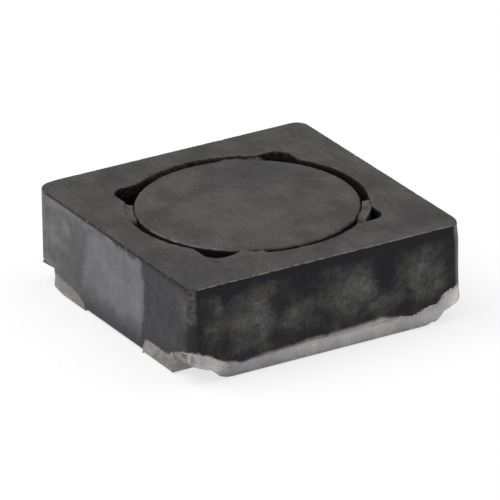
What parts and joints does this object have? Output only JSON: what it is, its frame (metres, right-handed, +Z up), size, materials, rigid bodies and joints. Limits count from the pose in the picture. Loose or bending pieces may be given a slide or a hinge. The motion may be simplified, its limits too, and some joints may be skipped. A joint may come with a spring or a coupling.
{
  "type": "shielded surface-mount inductor",
  "caption": "Low square ferrite power inductor: a wound drum core glued in a square ring core, with tinned electrodes wrapped under both sides for soldering to a board.",
  "frame": {"origin": "centre of the underside, on the board's surface", "axes": "+Z up from the board, +X towards the right electrode, +Y along the electrodes"},
  "size_m": [0.006, 0.006, 0.002],
  "materials": {
    "ferrite_ring": "matte sintered ferrite, ground flat on top",
    "ferrite_drum": "matte sintered ferrite, ground flat on top",
    "enamelled_copper": "clear enamel over copper wire",
    "tinned_electrode": "satin tin plating over fired silver",
    "solder": "bright solder",
    "adhesive": "cured epoxy"
  },
  "bodies": {
    "root": {"shield_core": "ferrite_ring", "drum_core": "ferrite_drum", "winding": "enamelled_copper", "electrode_right": "tinned_electrode", "electrode_left": "tinned_electrode", "solder_joint_right": "solder", "solder_joint_left": "solder", "adhesive_bead_1": "adhesive", "adhesive_bead_2": "adhesive", "adhesive_bead_3": "adhesive", "adhesive_bead_4": "adhesive"}
  },
  "joints": []
}
